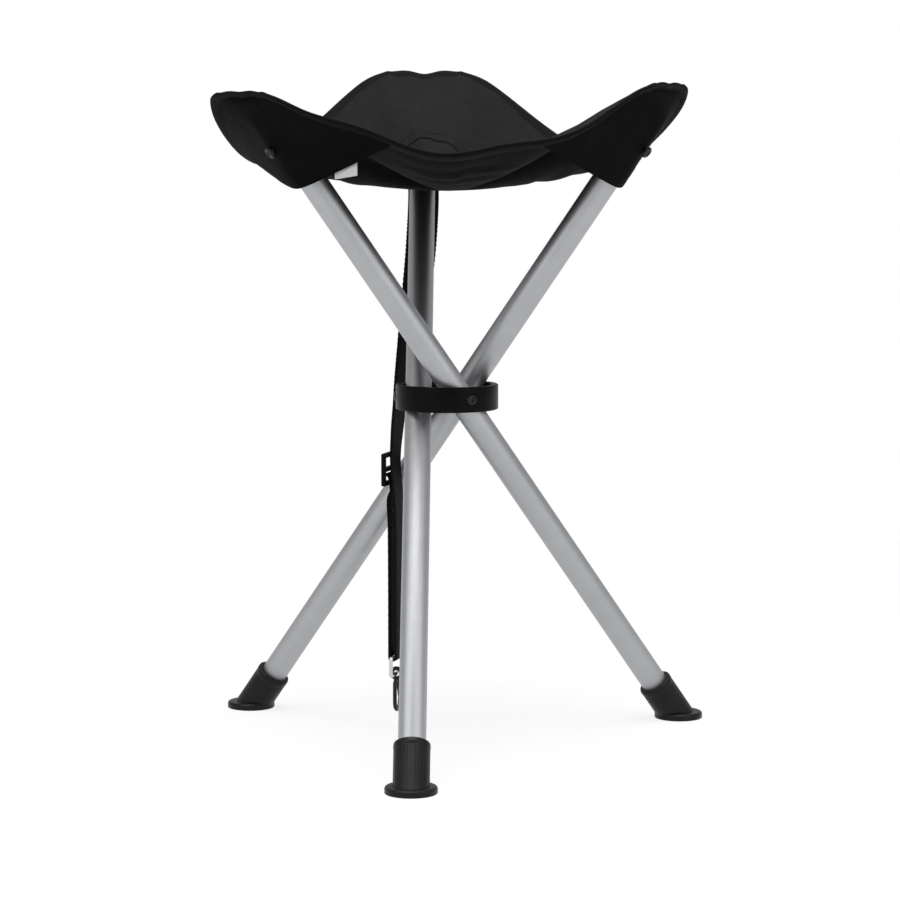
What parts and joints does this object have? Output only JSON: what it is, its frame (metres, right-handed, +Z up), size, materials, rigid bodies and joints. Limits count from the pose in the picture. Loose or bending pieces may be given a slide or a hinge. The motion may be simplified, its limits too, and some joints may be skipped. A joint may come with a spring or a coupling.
{
  "type": "tripod stool",
  "caption": "Folding tripod stool: slim metal legs crossing in a hub ring under a slung black fabric seat, with rubber-like round feet and a hanging carrying strap.",
  "frame": {"origin": "on the floor, under the middle of the stool's box with the carrying strap left out", "axes": "+Z up; -Y towards the foot that stands at the front; +X to the right seen from the front"},
  "size_m": [0.3781, 0.4005, 0.5115],
  "materials": {
    "black_plastic": "moulded, faint grain",
    "gloss_plastic": "smooth moulded",
    "black_steel": "blackened",
    "tube_metal": "satin anodised",
    "seat_fabric": "coated weave",
    "binding_tape": "woven tape",
    "webbing": "ribbed weave",
    "label_fabric": "plain weave",
    "wire_chrome": "polished"
  },
  "bodies": {
    "hub": {"hub_ring": "black_plastic", "pivot_screw_a": "black_steel", "pivot_screw_b": "black_steel", "pivot_screw_c": "black_steel", "pivot_nut_a": "black_steel", "pivot_nut_b": "black_steel", "pivot_nut_c": "black_steel", "seat_cloth": "seat_fabric", "edge_binding": "binding_tape", "strap_main": "webbing", "strap_return": "webbing", "strap_loop": "wire_chrome"},
    "leg_a": {"leg_tube_a": "tube_metal", "tube_cap_a": "black_plastic", "foot_a": "black_plastic", "foot_screw_a": "black_steel", "corner_pocket_a": "seat_fabric", "pocket_rivet_a": "black_steel", "care_label": "label_fabric"},
    "leg_b": {"leg_tube_b": "tube_metal", "tube_cap_b": "black_plastic", "foot_b": "black_plastic", "foot_screw_b": "black_steel", "corner_pocket_b": "seat_fabric", "pocket_rivet_b": "black_steel"},
    "leg_c": {"leg_tube_c": "tube_metal", "tube_cap_c": "black_plastic", "foot_c": "black_plastic", "foot_screw_c": "black_steel", "corner_pocket_c": "seat_fabric", "pocket_rivet_c": "black_steel"},
    "slider": {"strap_slider": "black_plastic"},
    "hook": {"hook_body": "gloss_plastic"},
    "gate": {"hook_gate": "gloss_plastic"}
  },
  "joints": [
    {"name": "fold_a", "type": "hinge", "parent": "hub", "child": "leg_a", "pos_m": [-0.0108, 0.0152, 0.261], "axis": [-0.5, 0.866, 0], "range_deg": [0, 34], "deforming": ["seat_cloth", "edge_binding", "corner_pocket_a", "corner_pocket_b", "corner_pocket_c", "care_label", "strap_main"]},
    {"name": "fold_b", "type": "hinge", "parent": "hub", "child": "leg_b", "pos_m": [-0.0108, 0.0152, 0.261], "axis": [-0.5, -0.866, 0], "range_deg": [0, 34]},
    {"name": "fold_c", "type": "hinge", "parent": "hub", "child": "leg_c", "pos_m": [-0.0108, 0.0152, 0.261], "axis": [1, 0, 0], "range_deg": [0, 34]},
    {"name": "slider_travel", "type": "slide", "parent": "hub", "child": "slider", "axis": [0, 0, 1], "range_m": [-0.06, 0], "deforming": ["strap_return"]},
    {"name": "hook_swing", "type": "hinge", "parent": "hub", "child": "hook", "pos_m": [-0.04991, 0.03287, 0.0457], "axis": [0.2588, 0.9659, 0], "range_deg": [-80, 80]},
    {"name": "hook_gate", "type": "hinge", "parent": "hook", "child": "gate", "pos_m": [-0.04927, 0.03526, 0.04], "axis": [0.9659, -0.2588, 0], "range_deg": [0, 22], "stiffness_Nm_per_rad": 0.002, "springref_deg": -11.46}
  ],
  "couplings": [
    {"joint": "fold_b", "follows": "fold_a", "ratio": 1},
    {"joint": "fold_c", "follows": "fold_a", "ratio": 1}
  ]
}
